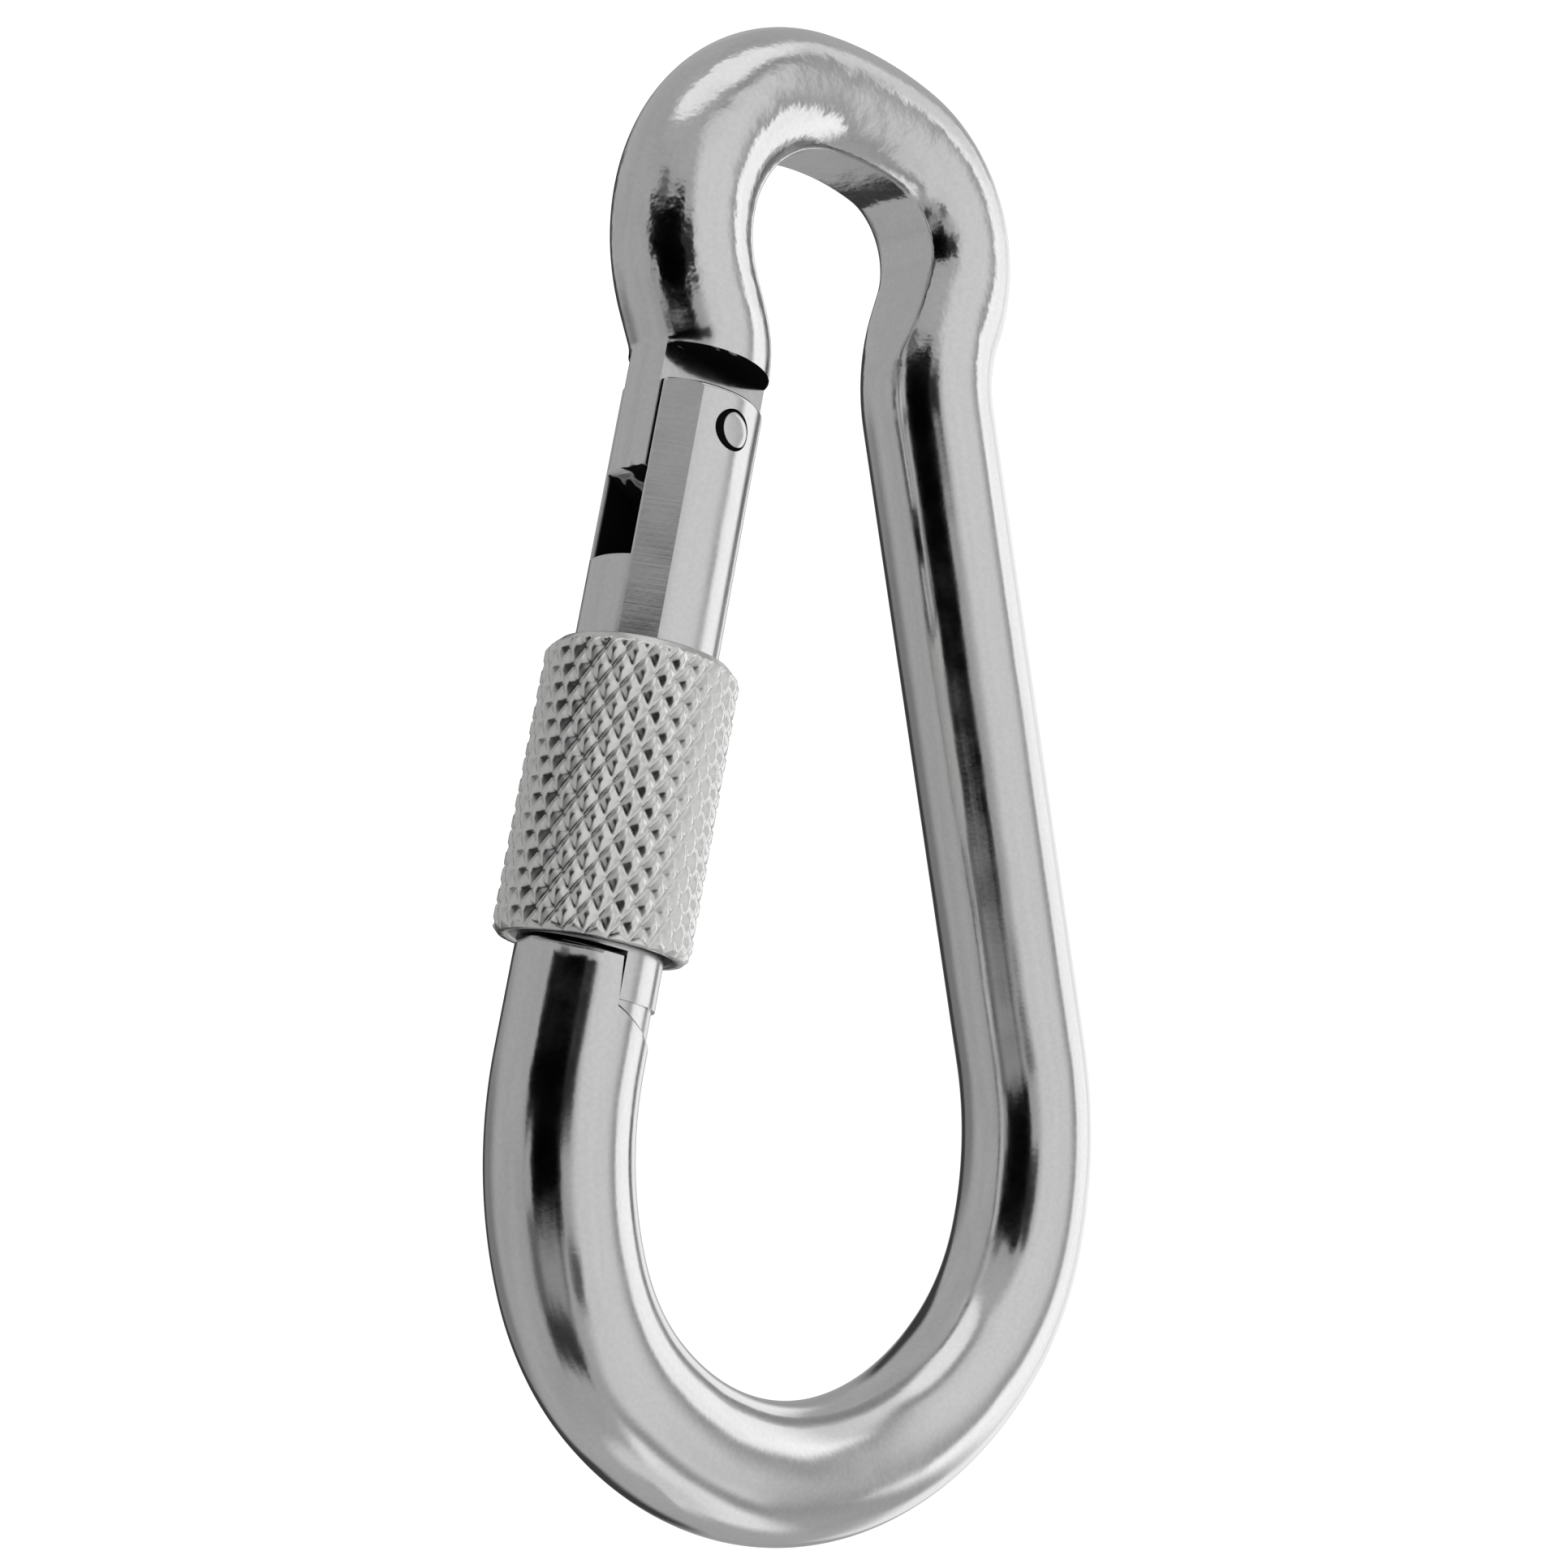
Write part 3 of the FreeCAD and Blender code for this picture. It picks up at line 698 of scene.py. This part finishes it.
def tent_material():
    """Grey walls, a side panel, a lit ceiling and floor, and the dark camera in front."""
    made, tree = empty_material("tent_light")
    place = node(tree, "ShaderNodeTexCoord").outputs["Object"]
    parts = node(tree, "ShaderNodeSeparateXYZ", {"Vector": place})
    turn = maths(tree, "ARCTAN2", parts.outputs[0], maths(tree, "MULTIPLY", parts.outputs[1], -1.0))
    turn = maths(tree, "MULTIPLY", turn, 180 / math.pi)
    height = maths(tree, "MULTIPLY", maths(tree, "ARCSINE", parts.outputs[2]), 180 / math.pi)
    ragged = noise(tree, place, 9.0, 5.0, 0.65)
    sway = maths(tree, "MULTIPLY", maths(tree, "SUBTRACT", ragged, 0.5), 15.0)
    slow = noise(tree, place, 2.2, 2.0)
    glow = maths(tree, "MULTIPLY", layered(tree, TENT_BASE, turn, height, TENT_LAYERS),
                 step_between(tree, slow, 0.25, 0.75, 0.93, 1.07))
    swayed_turn = maths(tree, "ADD", turn, sway)
    swayed_height = maths(tree, "SUBTRACT", height, sway)
    glow = layered(tree, glow, swayed_turn, swayed_height, TENT_DARK)
    shader = node(tree, "ShaderNodeEmission", {"Color": (1.0, 1.0, 1.0, 1.0), "Strength": glow})
    node(tree, "ShaderNodeOutputMaterial", {"Surface": shader.outputs[0]})
    return made


def sphere_tent():
    """The painted sphere that the metal mirrors, turned so that its zero is the camera's direction."""
    mesh = bpy.data.meshes.new("light_tent")
    work = bmesh.new()
    bmesh.ops.create_uvsphere(work, u_segments=96, v_segments=48, radius=1.0)
    work.to_mesh(mesh)
    work.free()
    obj = bpy.data.objects.new("light_tent", mesh)
    obj.scale = (TENT_RADIUS, TENT_RADIUS, TENT_RADIUS)
    obj.location = Vector(CAM_TARGET) * MM
    obj.rotation_euler = (0.0, 0.0, math.radians(CAM_AZIMUTH))
    mesh.materials.append(tent_material())
    bpy.context.scene.collection.objects.link(obj)
    glossy_only(obj)


def floor_plane():
    """A pale floor well below the object, which the metal does not mirror."""
    made, tree = empty_material("floor_paint")
    place = node(tree, "ShaderNodeTexCoord").outputs["Object"]
    low, high = [shaded((level, level, level)) for level in FLOOR_GREYS]
    mottle = blend_colour(tree, noise(tree, place, 6.0, 2.0), low, high)
    shader = node(tree, "ShaderNodeBsdfPrincipled", {"Base Color": mottle, "Roughness": 0.9})
    node(tree, "ShaderNodeOutputMaterial", {"Surface": shader.outputs[0]})
    mesh = bpy.data.meshes.new("floor")
    work = bmesh.new()
    bmesh.ops.create_grid(work, x_segments=2, y_segments=2, size=FLOOR_SIZE)
    work.to_mesh(mesh)
    work.free()
    mesh.materials.append(made)
    obj = bpy.data.objects.new("floor", mesh)
    obj.location = (0.0, 0.0, FLOOR_HEIGHT)
    obj.visible_glossy = False
    bpy.context.scene.collection.objects.link(obj)


def world_light():
    """Even white light from all round."""
    world = bpy.data.worlds.new("studio")
    bpy.context.scene.world = world
    world.use_nodes = True
    tree = world.node_tree
    tree.nodes.clear()
    shader = node(tree, "ShaderNodeBackground", {"Color": (1.0, 1.0, 1.0, 1.0), "Strength": STUDIO_LIGHT})
    node(tree, "ShaderNodeOutputWorld", {"Surface": shader.outputs[0]})


def camera():
    """The camera, placed from its azimuth, elevation and roll about the target."""
    az = math.radians(CAM_AZIMUTH)
    el = math.radians(CAM_ELEVATION)
    back = Vector((math.sin(az) * math.cos(el), -math.cos(az) * math.cos(el), math.sin(el)))
    right = (-back).cross(Vector((0, 0, 1))).normalized()
    up = right.cross(-back)
    roll = math.radians(CAM_ROLL)
    right, up = right * math.cos(roll) + up * math.sin(roll), up * math.cos(roll) - right * math.sin(roll)
    place = (Vector(CAM_TARGET) + back * CAM_DISTANCE) * MM
    data = bpy.data.cameras.new("camera")
    data.lens = CAM_LENS
    data.sensor_width = 36.0
    data.clip_start = 0.01
    obj = bpy.data.objects.new("camera", data)
    obj.matrix_world = Matrix.Translation(place) @ Matrix((right, up, back)).transposed().to_4x4()
    bpy.context.scene.collection.objects.link(obj)
    bpy.context.scene.camera = obj


sphere_tent()
floor_plane()
world_light()
camera()
bpy.context.scene.view_settings.view_transform = "Standard"
